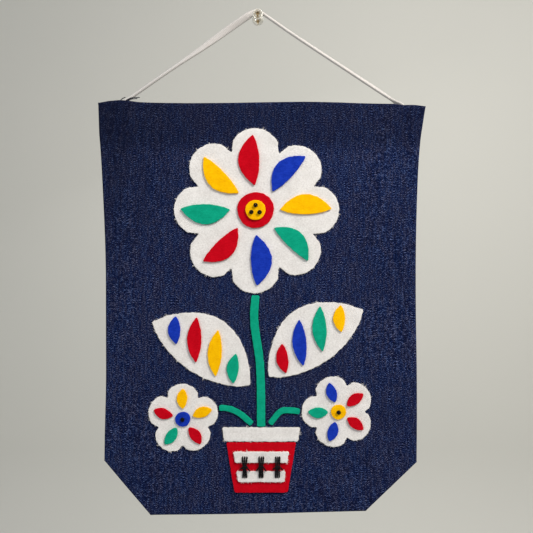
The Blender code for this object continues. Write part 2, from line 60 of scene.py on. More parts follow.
# %% [markdown]
# ## The camera
# The photograph was taken square on from about half a metre, so the lines of the banner stay parallel
# but the pin, which stands out from the wall, is seen a little from below. The lens follows from the
# number of pixels that one millimetre takes at the cloth.

# %% Place the camera
PHOTO_PIXELS = 533
SENSOR_WIDTH = 36.0
CLOTH_DISTANCE = 0.5  # from the lens to the front of the cloth
PIXEL_ON_CLOTH = 0.98 * MM  # what one pixel of the photograph spans there
CAMERA_PLACE = (8.7 * MM, -0.512, -0.247)

camera_data = bpy.data.cameras.new("camera")
camera_data.sensor_width = SENSOR_WIDTH
camera_data.lens = SENSOR_WIDTH * CLOTH_DISTANCE / (PHOTO_PIXELS * PIXEL_ON_CLOTH)
camera = bpy.data.objects.new("camera", camera_data)
camera.location = CAMERA_PLACE
camera.rotation_euler = (math.radians(90), 0, 0)
bpy.context.scene.collection.objects.link(camera)
bpy.context.scene.camera = camera
print("lens:", round(camera_data.lens, 2), "mm")

# %% [markdown]
# ## Small tools
# Every operator works on what is selected, so nothing may stay selected by accident. A mesh made in
# code becomes an object in `make_piece`, and `settle` names its finish and its body.

# %% Selection and mesh helpers
FINISHES = {}


def deselect_all():
    """Leave edit mode and select nothing."""
    if bpy.context.object and bpy.context.object.mode != "OBJECT":
        bpy.ops.object.mode_set(mode="OBJECT")
    bpy.ops.object.select_all(action="DESELECT")


def take(piece):
    """Make a piece the only selected and active one."""
    deselect_all()
    piece.select_set(True)
    bpy.context.view_layer.objects.active = piece


def modify(piece, kind, **settings):
    """Add a modifier with its settings and apply it at once."""
    take(piece)
    modifier = piece.modifiers.new(kind.title(), kind)
    for name, value in settings.items():
        setattr(modifier, name, value)
    bpy.ops.object.modifier_apply(modifier=modifier.name)


def make_piece(name, bm):
    """Turn a bmesh into an object with smooth shading."""
    mesh = bpy.data.meshes.new(name)
    bm.to_mesh(mesh)
    bm.free()
    mesh.shade_smooth()
    piece = bpy.data.objects.new(name, mesh)
    bpy.context.scene.collection.objects.link(piece)
    return piece


def settle(piece, finish, slot, *replaced):
    """Give a finished piece its material and body, and hide the node that it stands for; the slot is not
    used.
    """
    piece.data.materials.clear()
    piece.data.materials.append(FINISHES[finish])
    if replaced:
        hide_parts(*replaced)
    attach(piece, "root")
    return piece


def merged_copy(node, quads=True):
    """A bmesh of a node with its loose triangles merged, and joined to quads if that is asked."""
    bm = bmesh.new()
    bm.from_mesh(nodes[node].data)
    bmesh.ops.remove_doubles(bm, verts=bm.verts, dist=0.001 * MM)
    if quads:
        bmesh.ops.join_triangles(bm, faces=bm.faces, angle_face_threshold=math.radians(12),
                                 angle_shape_threshold=math.radians(60))
    return bm


def skin(bm, rings):
    """Join rings of points into a closed tube."""
    sides = len(rings[0])
    for low, high in zip(rings, rings[1:]):
        for k in range(sides):
            n = (k + 1) % sides
            bm.faces.new((low[k], low[n], high[n], high[k]))
    bm.faces.new(reversed(rings[0]))
    bm.faces.new(rings[-1])


# %% [markdown]
# ## Shader maths as Python
# A material reads best as arithmetic. `Wire` holds one socket, and each operator on it adds a Math
# node. `Finish` holds a material, and its `node` method adds any other node: first its settings, then
# its sockets, by name or number.

# %% The material classes
class Wire:
    """One output socket of a material."""

    def __init__(self, finish, socket):
        self.finish = finish
        self.socket = socket

    def math(self, operation, *values):
        return self.finish.node("ShaderNodeMath", {"operation": operation}, dict(enumerate(values)))

    def __add__(self, other):
        return self.math("ADD", self, other)

    __radd__ = __add__

    def __sub__(self, other):
        return self.math("SUBTRACT", self, other)

    def __rsub__(self, other):
        return self.math("SUBTRACT", other, self)

    def __mul__(self, other):
        return self.math("MULTIPLY", self, other)

    __rmul__ = __mul__

    def __pow__(self, other):
        return self.math("POWER", self, other)

    def above(self, low, high):
        """0 below low, 1 above high, and a soft step between them."""
        return self.finish.node("ShaderNodeMapRange", {"interpolation_type": "SMOOTHSTEP"},
                                {"Value": self, "From Min": low, "From Max": high})


class Finish:
    """A procedural material on a Principled BSDF."""

    def __init__(self, name, roughness=0.9, **constants):
        self.material = bpy.data.materials.new(name)
        self.material.use_nodes = True
        self.tree = self.material.node_tree
        self.shader = self.tree.nodes["Principled BSDF"]
        self.shader.inputs["Roughness"].default_value = roughness
        for socket, value in constants.items():
            self.shader.inputs[socket.replace("_", " ")].default_value = value
        self.place = Wire(self, self.tree.nodes.new("ShaderNodeTexCoord").outputs["Object"])
        FINISHES[name] = self.material

    def node(self, kind, settings=None, sockets=None, output=0):
        made = self.tree.nodes.new(kind)
        for name, value in (settings or {}).items():
            setattr(made, name, value)
        for key, value in (sockets or {}).items():
            if isinstance(value, Wire):
                self.tree.links.new(value.socket, made.inputs[key])
            else:
                made.inputs[key].default_value = value
        return Wire(self, made.outputs[output])

    def scaled(self, x, y, z, turn=(0, 0, 0)):
        """The piece's coordinates, turned and stretched to so many cells a metre."""
        return self.node("ShaderNodeMapping", None, {"Vector": self.place, "Scale": (x, y, z),
                                                     "Rotation": tuple(math.radians(a) for a in turn)})

    def axis(self, name):
        """One of the piece's coordinates."""
        return self.node("ShaderNodeSeparateXYZ", None, {0: self.place}, output=name)

    def noise(self, vector, detail=3.0, rough=0.5):
        return self.node("ShaderNodeTexNoise", None,
                         {"Vector": vector, "Scale": 1.0, "Detail": detail, "Roughness": rough})

    def blend(self, factor, low, high):
        """Mix two colours; a tuple is a colour and a wire is a link."""
        return self.node("ShaderNodeMix", {"data_type": "RGBA"}, {0: factor, 6: low, 7: high}, output=2)

    def colour(self, wire):
        self.tree.links.new(wire.socket, self.shader.inputs["Base Color"])

    def roughness(self, wire):
        self.tree.links.new(wire.socket, self.shader.inputs["Roughness"])

    def bump(self, height, distance, strength):
        wire = self.node("ShaderNodeBump", None,
                         {"Height": height, "Distance": distance, "Strength": strength})
        self.tree.links.new(wire.socket, self.shader.inputs["Normal"])


def colour(red, green, blue):
    """A colour measured in the photograph's 0 to 255 scale, as the renderer's linear values."""
    def linear(value):
        value /= 255
        return value / 12.92 if value <= 0.04045 else ((value + 0.055) / 1.055) ** 2.4
    return (linear(red), linear(green), linear(blue), 1.0)


# %% [markdown]
# ## Denim
# Raw denim is dark indigo warp over a white weft. The warp yarns are uneven, which gives the fine
# vertical streaks, and the weft shows as pale flecks between them. The diagonal twill line is finer
# than a pixel of the photograph, so fine noise stands for it in the colour and the bump. The dye took
# unevenly: some yarns are bluer and some greyer. Painted shade darkens the cloth along the top hem
# and towards the left upper corner. Its reverse, seen inside the hems at the back, is mostly weft and
# much paler; the cloth's mesh says where that is.

# %% Make the denim
PICK_PITCH = 1.96 * MM  # the weft dashes stand in rows this far apart
BANDS_A_UNIT = 20 / math.tau  # Blender's wave texture draws this many bands for a scale of 1


def make_denim():
    denim = Finish("denim", roughness=0.9, Specular_IOR_Level=0.06)
    grain = denim.noise(denim.scaled(820, 500, 1050), detail=1)
    speck = denim.noise(denim.scaled(560, 500, 1400), detail=0)
    streak = denim.noise(denim.scaled(800, 500, 45), detail=3, rough=0.6)
    dash = denim.node("ShaderNodeTexWave", {"wave_type": "BANDS", "bands_direction": "Z"},
                      {"Vector": denim.scaled(10, 1, 1), "Scale": 1 / (PICK_PITCH * BANDS_A_UNIT),
                       "Distortion": 16.0, "Detail": 0.0, "Detail Scale": 0.4})
    cloud = denim.noise(denim.scaled(14, 14, 8), detail=2)
    vat = denim.noise(denim.scaled(140, 110, 35), detail=2)
    yarn = denim.noise(denim.scaled(700, 500, 160), detail=1)
    weave = grain * 0.3 + speck * 0.3 + streak * 0.2 + dash * 0.2
    low, high = weave.above(0.42, 0.57), weave.above(0.55, 0.69)
    cool = denim.blend(high, denim.blend(low, colour(0, 10, 39), colour(16, 30, 75)),
                       colour(85, 103, 146))
    warm = denim.blend(high, denim.blend(low, colour(4, 10, 34), colour(25, 30, 65)),
                       colour(98, 102, 132))
    mixed = denim.blend((vat * 0.4 + yarn * 0.6).above(0.40, 0.60), cool, warm)
    dyed = denim.blend(cloud.above(0.35, 0.75) * 0.2, mixed, colour(12, 19, 46))
    # Painted shade: the colour darkens towards the left upper corner and along the top hem.
    corner_shade = (1 - denim.axis("X").above(-0.16, -0.03)) * denim.axis("Z").above(-0.32, -0.10)
    top_hem_shade = denim.axis("Z").above(-0.14, -0.12)
    corner_shaded = denim.blend(corner_shade * 0.5, dyed, colour(8, 12, 28))
    front = denim.blend(top_hem_shade * 0.38, corner_shaded, colour(8, 11, 28))
    reverse = denim.node("ShaderNodeAttribute", {"attribute_name": "reverse"}, output=2)
    weft = denim.blend(weave.above(0.38, 0.62), colour(58, 68, 98), colour(150, 156, 172))
    denim.colour(denim.blend(reverse, front, weft))
    denim.bump(weave, 0.3 * MM, 0.6)


make_denim()
print("denim:", len(FINISHES["denim"].node_tree.nodes), "nodes")

# %% [markdown]
# ## Flannel, felt, cotton and yarn
# Flannel is brushed, so its surface is soft and cloudy with no hard highlight. Felt is a mat of short
# fibres in one strong colour. Tape is a ribbed weave that follows its length, so it reads the piece's
# own UV map. Yarn is black with a little grey on its twist.

# %% Make the soft finishes
def make_flannel():
    flannel = Finish("flannel", roughness=0.95, Specular_IOR_Level=0.1, Sheen_Weight=0.1,
                     Sheen_Roughness=0.6)
    cloud = flannel.noise(flannel.scaled(90, 90, 90), detail=4)
    nap = flannel.noise(flannel.scaled(700, 700, 900), detail=5, rough=0.65)
    weave = flannel.noise(flannel.scaled(1600, 800, 420), detail=2)
    tone = cloud * 0.3 + nap * 0.7
    base = flannel.blend(tone.above(0.30, 0.70), colour(208, 204, 201), colour(234, 231, 229))
    flannel.colour(flannel.blend(weave.above(0.6, 0.8) * 0.3, base, colour(184, 178, 170)))
    flannel.bump(nap + cloud * 0.6 + weave * 0.4, 0.5 * MM, 0.55)


def make_felt(name, dark, light):
    felt = Finish(name, roughness=0.95, Specular_IOR_Level=0.05)
    mat = felt.noise(felt.scaled(900, 900, 900), detail=5, rough=0.7)
    patch = felt.noise(felt.scaled(150, 150, 150), detail=3)
    strand = felt.noise(felt.scaled(300, 900, 1500, turn=(0, 35, 0)), detail=2)
    tone = mat * 0.45 + patch * 0.35 + strand * 0.3
    felt.colour(felt.blend(tone.above(0.36, 0.74), dark, light))
    felt.bump(mat + strand * 0.6, 0.4 * MM, 0.5)


def make_tape_finish():
    cotton = Finish("cotton", roughness=0.88, Specular_IOR_Level=0.2, Sheen_Weight=0.3,
                    Sheen_Roughness=0.5)
    along = Wire(cotton, cotton.node("ShaderNodeUVMap", {"uv_map": "UVMap"}).socket)
    rib = cotton.node("ShaderNodeTexWave", {"wave_type": "BANDS", "bands_direction": "Y"},
                      {"Vector": along, "Scale": 210.0, "Distortion": 1.2, "Detail": 1.5,
                       "Detail Scale": 300.0})
    soil = cotton.noise(cotton.scaled(120, 120, 120), detail=3)
    base = cotton.blend(rib, colour(186, 181, 177), colour(202, 198, 195))
    cotton.colour(cotton.blend(soil.above(0.5, 0.8) * 0.25, base, colour(184, 167, 159)))
    cotton.bump(rib, 0.1 * MM, 0.6)


def make_yarn_finish(name, dark, light):
    yarn = Finish(name, roughness=0.9, Specular_IOR_Level=0.1, Sheen_Weight=0.05, Sheen_Roughness=0.4)
    fibre = yarn.noise(yarn.scaled(1800, 1800, 1800), detail=4, rough=0.7)
    yarn.colour(yarn.blend(fibre.above(0.35, 0.75), dark, light))
    yarn.bump(fibre, 0.25 * MM, 0.6)


FELTS = {
    "felt_red": (colour(174, 1, 18), colour(200, 7, 28)),
    "felt_blue": (colour(12, 40, 148), colour(28, 60, 182)),
    "felt_yellow": (colour(236, 170, 0), colour(250, 194, 4)),
    "felt_green": (colour(4, 140, 110), colour(16, 166, 132)),
}
make_flannel()
for felt_name, tones in FELTS.items():
    make_felt(felt_name, *tones)
make_tape_finish()
make_yarn_finish("yarn", colour(5, 5, 7), colour(28, 28, 31))
make_yarn_finish("white_thread", colour(196, 192, 186), colour(236, 233, 228))
make_yarn_finish("dark_thread", colour(14, 16, 26), colour(44, 48, 66))
print("soft finishes:", len(FINISHES))

# %% [markdown]
# ## Plastic and steel
# The pin's body is clear, polished plastic, so light comes through it. Its rims are a little rougher
# and mixed with a soft white, a painted highlight for the bright rings of light on them, and its
# middle is tinted amber, a painted glint of warm light on the needle inside. The needle is drawn wire
# with fine marks along it, and its warm gold colour is a painted reflection of the warm light.

# %% Make the hard finishes
def make_clear_plastic():
    clear = Finish("clear_plastic", roughness=0.04, Transmission_Weight=1.0, IOR=1.49)
    x, z = clear.axis("X"), clear.axis("Z")
    out = (x * x + z * z) ** 0.5
    rim = out.above(3.9 * MM, 4.8 * MM)
    # Painted glint: the middle of the body, round the needle, is tinted amber for warm light caught on
    # the needle inside.
    clear.colour(clear.blend(out.above(1.2 * MM, 2.5 * MM), colour(178, 146, 96), colour(250, 247, 238)))
    marks = clear.noise(clear.scaled(500, 500, 500), detail=3)
    clear.roughness(marks.above(0.55, 0.9) * 0.1 + rim * 0.12 + 0.03)
    # Painted highlight: the rims are mixed with a soft white that stands in for the bright rings of
    # light on them.
    painted_rim_highlight = clear.node("ShaderNodeBsdfPrincipled", None,
                         {"Base Color": colour(255, 252, 244), "Roughness": 0.3})
    whole = clear.node("ShaderNodeMixShader", None,
                       {0: rim * 0.62, 1: Wire(clear, clear.shader.outputs[0]), 2: painted_rim_highlight})
    clear.tree.links.new(whole.socket, clear.tree.nodes["Material Output"].inputs["Surface"])


def make_steel():
    steel = Finish("steel", roughness=0.25, Metallic=1.0)
    marks = steel.noise(steel.scaled(2500, 120, 2500), detail=3)
    # Painted reflection: the warm gold of the wire's colour stands in for the warm light that it
    # reflects; the marks along it are its own.
    steel.colour(steel.blend(marks, colour(176, 148, 104), colour(232, 208, 164)))
    steel.roughness(marks * 0.2 + 0.16)
    steel.bump(marks, 0.02 * MM, 0.3)


make_clear_plastic()
make_steel()
print("finishes:", ", ".join(FINISHES))

# %% [markdown]
# ## How the cloth hangs
# The banner is nearly flat, with a few soft swells: the left upper corner curls back to the wall, the
# right one curls forward, and a shallow fold runs down from the left end of the tape. The packed
# cloth has these as flat cells, and the same formula makes them smooth here. On top of it come the
# finer forms: creases, puckers beside the ends of the tape, and the lumps of a handled cloth.

# %% The shape of the surface
FRONT_Y = -12.0 * MM
CLOTH_THICK = 1.2 * MM
HEM_THICK = 2.4 * MM

# Centre x and z, half width, half height and rise towards the viewer, in millimetres
SWELLS = (
    (-162, -80, 30, 75, -5.5), (166, -88, 30, 90, 5.0), (-126, -200, 20, 120, 1.3),
    (-104, -190, 16, 110, -0.8), (134, -200, 26, 60, 1.5), (130, -305, 30, 45, -1.2),
    (-150, -450, 60, 60, 2.0), (60, -500, 90, 60, -1.0),
)
# Centre x and z, angle, length, width and depth of each fine crease, in millimetres
CREASES = (
    (-117, -190, 88, 190, 7, 0.35), (-99, -235, 92, 150, 9, -0.25), (-118, -306, 4, 34, 3.5, 0.35),
    (141, -118, 62, 50, 5, 0.35), (127, -112, 80, 40, 5, -0.25), (-131, -106, 100, 36, 4, 0.4),
    (112, -440, 20, 70, 8, 0.25), (-60, -478, 3, 90, 6, 0.2), (30, -92, 1, 160, 5, 0.15),
    (148, -250, 86, 120, 6, 0.25), (-143, -380, 89, 110, 7, 0.22), (70, -476, -4, 70, 5, -0.18),
)
LUMP = 0.16 * MM


def swell(x, z):
    """Depth of the cloth's front as packed."""
    rise = sum(r * math.exp(-((x / MM - cx) / w) ** 2 - ((z / MM - cz) / h) ** 2)
               for cx, cz, w, h, r in SWELLS)
    return FRONT_Y - rise * MM


def crease_depth(x, z):
    total = 0.0
    for cx, cz, angle, length, width, depth in CREASES:
        turn = math.radians(angle)
        dx, dz = x / MM - cx, z / MM - cz
        along = (dx * math.cos(turn) + dz * math.sin(turn)) / (length / 2)
        across = (dz * math.cos(turn) - dx * math.sin(turn)) / width
        total += depth * math.exp(-along ** 4 - across ** 2)
    return total * MM


def lumps(x, z):
    """Small, irregular rises of a cloth that has been handled."""
    broad = noise.noise(Vector((x * 28, 0.5, z * 20)))
    fine = noise.noise(Vector((x * 90, 2.5, z * 70)))
    return LUMP * (broad + 0.4 * fine)


def surface(x, z):
    """Depth of the cloth's finished front."""
    return swell(x, z) + crease_depth(x, z) - lumps(x, z)


print("surface at the centre:", round(surface(0, -0.28) / MM, 2), "mm")

# %% [markdown]
# ## The banner cloth
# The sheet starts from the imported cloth, because its outline and hems must match. Its cells are
# divided, every point is set on the smooth surface at its own depth, and one level of subdivision
# rounds the folded edge and the step of the hem. Points one thickness from the front, inside the
# hems, are marked as the reverse of the cloth.

# %% Shape the banner cloth
CELL_CUTS = 3
# The six corners lie furthest in these directions of x and z, and stay crisp
CORNER_DIRECTIONS = ((-1, 1), (1, 1), (-1, -0.35), (1, -0.35), (-0.35, -1), (0.35, -1))
CORNER_REACH = 1.3 * MM


def layer_of(vert):
    """How many thicknesses of the cloth a packed point lies behind its front."""
    return round((vert.co.y - swell(vert.co.x, vert.co.z)) / CLOTH_THICK)


def make_cloth():
    bm = merged_copy("banner_cloth")
    in_plane = [e for e in bm.edges if layer_of(e.verts[0]) == layer_of(e.verts[1])
                and e.calc_length() > HEM_THICK]
    bmesh.ops.subdivide_edges(bm, edges=in_plane, cuts=CELL_CUTS, use_grid_fill=True)
    crease = bm.verts.layers.float.new("crease_vert")
    for direction in CORNER_DIRECTIONS:
        tip = max(bm.verts, key=lambda v: v.co.x * direction[0] + v.co.z * direction[1])
        for v in bm.verts:
            if math.hypot(v.co.x - tip.co.x, v.co.z - tip.co.z) < CORNER_REACH:
                v[crease] = 1.0
    reverse = bm.verts.layers.float.new("reverse")
    for face in bm.faces:
        if all(layer_of(v) == 1 for v in face.verts):
            for v in face.verts:
                v[reverse] = 1.0
    for v in bm.verts:
        v.co.y = surface(v.co.x, v.co.z) + layer_of(v) * CLOTH_THICK
    bmesh.ops.recalc_face_normals(bm, faces=bm.faces)
    piece = make_piece("denim_sheet", bm)
    modify(piece, "SUBSURF", levels=1, render_levels=1)
    return settle(piece, "denim", "denim", "banner_cloth")


cloth = make_cloth()
print("cloth:", len(cloth.data.polygons), "faces")

# %% [markdown]
# ## The hanging tape
# A flat cotton tape runs from the back of the top hem over the pin and down again. It turns about its
# own length: nearly edge on down the right and towards its left end, and face on just left of the
# pin. It is a cord with a flat section, so it is swept along its path with a roll at each point, and
# the sweep carries a UV map.

# %% Sweep the hanging tape
TAPE_WIDE, TAPE_THICK = 6.5 * MM, 3.0 * MM
TAPE_STEPS = 14
TAPE_SIDES = 24
TAPE_BOXY = 0.75  # 0 would give a box and 1 an ellipse
TAPE_GATHER, TAPE_GATHER_REACH = 0.3, 6.0  # the tape is squeezed where it bends over the pin
# x, y and z in millimetres, and the roll in degrees
TAPE_PATH = (
    (-145.0, -4.1, -100.0, 86), (-139.0, -4.7, -91.8, 76), (-133.2, -4.7, -83.6, 44),
    (-125.0, -5.1, -78.6, 26), (-96.3, -6.4, -59.2, 26), (-76.4, -7.0, -45.9, 34),
    (-56.6, -7.2, -32.4, 60), (-26.9, -7.2, -11.2, 108), (-14.0, -7.2, -2.2, 114),
    (-7.0, -7.0, 2.5, 100), (-3.2, -6.8, 4.8, 74), (0.2, -6.7, 5.3, 49), (3.2, -6.8, 4.3, 34),
    (6.8, -7.0, 2.1, 28), (15.0, -7.5, -3.9, 27), (32.5, -7.6, -16.1, 29), (52.2, -8.0, -29.4, 32),
    (87.8, -8.7, -53.1, 34), (118.7, -8.8, -73.4, 37), (132.0, -8.4, -82.2, 20),
    (140.7, -8.6, -88.4, -42), (146.0, -10.2, -94.0, -82), (152.0, -11.2, -102.0, -94),
)


def smooth_line(points, steps):
    """Points on a smooth curve through the given ones."""
    line = []
    for i in range(len(points) - 1):
        p0, p1 = points[max(i - 1, 0)], points[i]
        p2, p3 = points[i + 1], points[min(i + 2, len(points) - 1)]
        for k in range(steps):
            t = k / steps
            line.append(tuple(0.5 * (2 * b + (c - a) * t + (2 * a - 5 * b + 4 * c - d) * t ** 2
                                     + (3 * b - a - 3 * c + d) * t ** 3)
                              for a, b, c, d in zip(p0, p1, p2, p3)))
    line.append(tuple(points[-1]))
    return line


def sweep(bm, stations, section, uv):
    """Skin a section along stations of (centre, wide, thick), with capped ends and a UV map."""
    rings = [[bm.verts.new(centre + wide * a + thick * b) for a, b in section]
             for centre, wide, thick in stations]
    sides = len(section)
    run = 0.0
    for i in range(len(rings) - 1):
        step = (stations[i + 1][0] - stations[i][0]).length
        for k in range(sides):
            n = (k + 1) % sides
            face = bm.faces.new((rings[i][k], rings[i][n], rings[i + 1][n], rings[i + 1][k]))
            corners = ((k, run), (k + 1, run), (k + 1, run + step), (k, run + step))
            for loop, (across, along) in zip(face.loops, corners):
                loop[uv].uv = (across * MM, along)
        run += step
    bm.faces.new(reversed(rings[0]))
    bm.faces.new(rings[-1])
    return run


def tape_stations():
    """The tape's centre and its wide and thick directions at each step of its path."""
    line = smooth_line(TAPE_PATH, TAPE_STEPS)
    stations = []
    for i, (x, y, z, roll) in enumerate(line):
        before, after = line[max(i - 1, 0)], line[min(i + 1, len(line) - 1)]
        along = (Vector(after[:3]) - Vector(before[:3])).normalized()
        flat = Vector((0, -1, 0))
        flat = (flat - along * flat.dot(along)).normalized()
        up = along.cross(flat).normalized()
        if up.z < 0:
            up = -up
        turn = math.radians(roll)
        gathered = 1 - TAPE_GATHER * math.exp(-(x / TAPE_GATHER_REACH) ** 2)
        wide = (flat * math.cos(turn) - up * math.sin(turn)) * gathered
        thick = flat * math.sin(turn) + up * math.cos(turn)
        stations.append((Vector((x, y, z)) * MM, wide, thick))
    return stations


def make_tape():
    """The swept tape, the path that it follows and its length."""
    section = []
    for k in range(TAPE_SIDES):
        a = math.tau * (k + 0.5) / TAPE_SIDES
        ca, sa = math.cos(a), math.sin(a)
        wide = math.copysign(abs(ca) ** TAPE_BOXY, ca) * TAPE_WIDE / 2
        section.append((wide, math.copysign(abs(sa) ** TAPE_BOXY, sa) * TAPE_THICK / 2))
    bm = bmesh.new()
    uv = bm.loops.layers.uv.new("UVMap")
    stations = tape_stations()
    length = sweep(bm, stations, section, uv)
    bmesh.ops.recalc_face_normals(bm, faces=bm.faces)
    piece = settle(make_piece("tape", bm), "cotton", "cotton", "hanging_tape")
    path = [tuple(centre) for centre, _, _ in stations]
    return piece, path, length


tape, tape_path, tape_run = make_tape()
print("tape:", round(tape_run / MM, 1), "mm long")

# %% [markdown]
# ## Pieces cut from cloth
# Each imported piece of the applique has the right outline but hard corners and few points. Its front
# outline is read, evened out and given the slight waver of hand cutting. The new piece is a grid cut
# to that outline, laid on the cloth's surface, with a rounded rim where scissors pressed the edge.

# %% Read and soften the outlines
OUTLINE_STEP = 1.1 * MM
SHEET_CELL = 2.6 * MM
CLOSE_GAP = 0.24 * MM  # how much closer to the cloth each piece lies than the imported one
ROUNDING_PASSES = 2


def walk_round(ahead):
    """The (x, z) of each point on a closed line, from the point that follows each one."""
    start = here = next(iter(ahead))
    line = []
    while True:
        line.append((here.co.x, here.co.z))
        here = ahead[here]
        if here == start:
            return line


def front_outline(node):
    """The loop of (x, z) round a node's front, and its lowest and highest layer above the cloth."""
    bm = merged_copy(node, quads=False)
    lifts = [swell(v.co.x, v.co.z) - v.co.y for v in bm.verts]
    front = {f for f in bm.faces if f.normal.y < -0.7}
    ahead = {}
    for edge in bm.edges:
        owners = [loop for loop in edge.link_loops if loop.face in front]
        if len(owners) == 1 and len(edge.link_faces) == 2:
            ahead[owners[0].vert] = owners[0].link_loop_next.vert
    loop = walk_round(ahead)
    bm.free()
    return loop, min(lifts), max(lifts)


def even_spacing(loop, step):
    """Points at even steps round a closed line."""
    lengths = [math.dist(a, b) for a, b in zip(loop, loop[1:] + loop[:1])]
    total = sum(lengths)
    count = max(12, round(total / step))
    points, i, done = [], 0, 0.0
    for k in range(count):
        target = total * k / count
        while done + lengths[i] < target:
            done += lengths[i]
            i += 1
        t = (target - done) / lengths[i]
        (ax, az), (bx, bz) = loop[i], loop[(i + 1) % len(loop)]
        points.append((ax + (bx - ax) * t, az + (bz - az) * t))
    return points


def hand_cut(loop, waver):
    """Round the corners a little and let the line stray by about its waver."""
    points = even_spacing(loop, OUTLINE_STEP)
    for _ in range(ROUNDING_PASSES):
        n = len(points)
        points = [tuple(0.25 * points[i - 1][k] + 0.5 * points[i][k] + 0.25 * points[(i + 1) % n][k]
                        for k in (0, 1)) for i in range(n)]
    result = []
    for i, (x, z) in enumerate(points):
        (ax, az), (bx, bz) = points[i - 1], points[(i + 1) % len(points)]
        size = math.hypot(bx - ax, bz - az) or 1.0
        out = (bz - az) / size, -(bx - ax) / size
        shift = waver * (noise.noise(Vector((x * 260, 3.1, z * 260)))
                         + 0.6 * noise.noise(Vector((x * 900, 7.7, z * 900))))
        result.append((x + out[0] * shift, z + out[1] * shift))
    return result


# %% [markdown]
# A flat face is cut by a grid of planes, so that its inside gets points to lift, and then thickened.
# Parts of its rim rise a little, as felt and flannel do once they have been handled.

# %% Lay a cut piece on the cloth
EDGE_SOFT = 0.28 * MM
RIM_WIDTH = 3.5 * MM


def edge_distance(x, z, loop):
    """How far a point is from the nearest point of an outline."""
    return min(math.hypot(x - px, z - pz) for px, pz in loop)


def lay_piece(name, loop, low, high, lift):
    """A thin piece between two heights above the cloth; lift raises parts of its rim."""
    bm = bmesh.new()
    bm.faces.new([bm.verts.new((x, 0, z)) for x, z in loop])
    for axis in (0, 2):
        spread = [v.co[axis] for v in bm.verts]
        normal = Vector((1, 0, 0)) if axis == 0 else Vector((0, 0, 1))
        for k in range(math.ceil(min(spread) / SHEET_CELL), math.floor(max(spread) / SHEET_CELL) + 1):
            bmesh.ops.bisect_plane(bm, geom=bm.verts[:] + bm.edges[:] + bm.faces[:],
                                   plane_co=normal * k * SHEET_CELL, plane_no=normal)
    for v in bm.verts:
        x, z = v.co.x, v.co.z
        rim = math.exp(-(edge_distance(x, z, loop) / RIM_WIDTH) ** 2)
        wave = max(0.0, noise.noise(Vector((x * 70, 5.3, z * 70))) + 0.15)
        v.co.y = surface(x, z) - low - rim * wave * lift
    raised = bmesh.ops.extrude_face_region(bm, geom=bm.faces[:])
    for v in raised["geom"]:
        if isinstance(v, bmesh.types.BMVert):
            v.co.y -= high - low
    bmesh.ops.recalc_face_normals(bm, faces=bm.faces)
    piece = make_piece(name, bm)
    modify(piece, "BEVEL", width=EDGE_SOFT, segments=2, limit_method="ANGLE",
           angle_limit=math.radians(50))
    return piece


# %% [markdown]
# ## The applique
# The shapes are white flannel and coloured felt. The record says which slot each node has, so the
# finish is looked up there. Flannel frays, so its outline wavers more than felt's.

# %% Cut and lay every piece
SLOTS = {part["node"]: part["material_slot"] for part in frame["record"]["subparts"]}
# How far a cut line strays, and how far a rim may rise
FLANNEL_FORM = (0.55 * MM, 0.5 * MM)
FELT_FORM = (0.3 * MM, 0.3 * MM)
outlines = {}

for node, slot_name in sorted(SLOTS.items()):
    if slot_name != "flannel" and not slot_name.startswith("felt_"):
        continue
    waver, lift = FLANNEL_FORM if slot_name == "flannel" else FELT_FORM
    raw, low, high = front_outline(node)
    loop = hand_cut(raw, waver)
    outlines[node] = (loop, low, high)
    piece = lay_piece(f"cut_{node}", loop, low - CLOSE_GAP, high, lift=lift)
    settle(piece, slot_name, slot_name, node)

# %% [markdown]
# ## Frayed edges
# Cut flannel sheds: short ends of thread stand out along every edge, a few of them long. Felt only
# grows a fine fuzz. Each fibre is a bent, three-sided hair that starts just inside the edge, and all
# the fibres of one cloth are joined in one mesh, because thousands of objects would be slow.

# %% Grow fibres along an edge
FIBRE_SIDES = 3
FIBRE_TAPER = 0.55  # share of its radius that a fibre loses by its tip
FIBRE_DRIFT = 0.7
FIBRE_SPREAD = 55  # degrees to either side of straight out
TUFT_EVERY = 38 * MM
TUFT_LENGTHS = (1.3 * MM, 3.0 * MM)
TUFT_RADIUS = 0.13 * MM


def add_fibre(bm, root, heading, length, radius, bends, chance):
    """A tapering hair that wanders off its heading."""
    heading = Vector(heading).normalized()
    side = heading.orthogonal().normalized()
    other = heading.cross(side)
    point = Vector(root)
    rings = []
    for k in range(bends + 1):
        size = radius * (1 - FIBRE_TAPER * k / bends)
        rings.append([bm.verts.new(point + side * math.cos(a) * size + other * math.sin(a) * size)
                      for a in (math.tau * i / FIBRE_SIDES for i in range(FIBRE_SIDES))])
        drift = Vector([chance.uniform(-0.5, 0.5) for _ in range(3)])
        heading = (heading + drift * FIBRE_DRIFT).normalized()
        point = point + heading * length / bends
    skin(bm, rings)


def fray(bm, loop, low, high, spacing, lengths, radius, seed):
    """Fibres along a closed line on the cloth, standing out to its right side."""
    chance = random.Random(seed)
    count = len(loop)
    for i in range(count):
        (ax, az), (bx, bz) = loop[i], loop[(i + 1) % count]
        size = math.hypot(bx - ax, bz - az)
        due = size / spacing
        for _ in range(int(due) + (chance.random() < due % 1)):
            t = chance.random()
            x, z = ax + (bx - ax) * t, az + (bz - az) * t
            lean = math.radians(chance.uniform(-FIBRE_SPREAD, FIBRE_SPREAD))
            out = math.atan2(-(bx - ax), bz - az) + lean
            length = lengths[0] + (lengths[1] - lengths[0]) * chance.random() ** 3
            root = (x - math.cos(out) * 0.3 * MM, surface(x, z) - chance.uniform(low + 0.1 * MM, high),
                    z - math.sin(out) * 0.3 * MM)
            heading = (math.cos(out), chance.uniform(-0.25, 0.1), math.sin(out))
            add_fibre(bm, root, heading, length, radius * chance.uniform(0.7, 1.2), 3, chance)


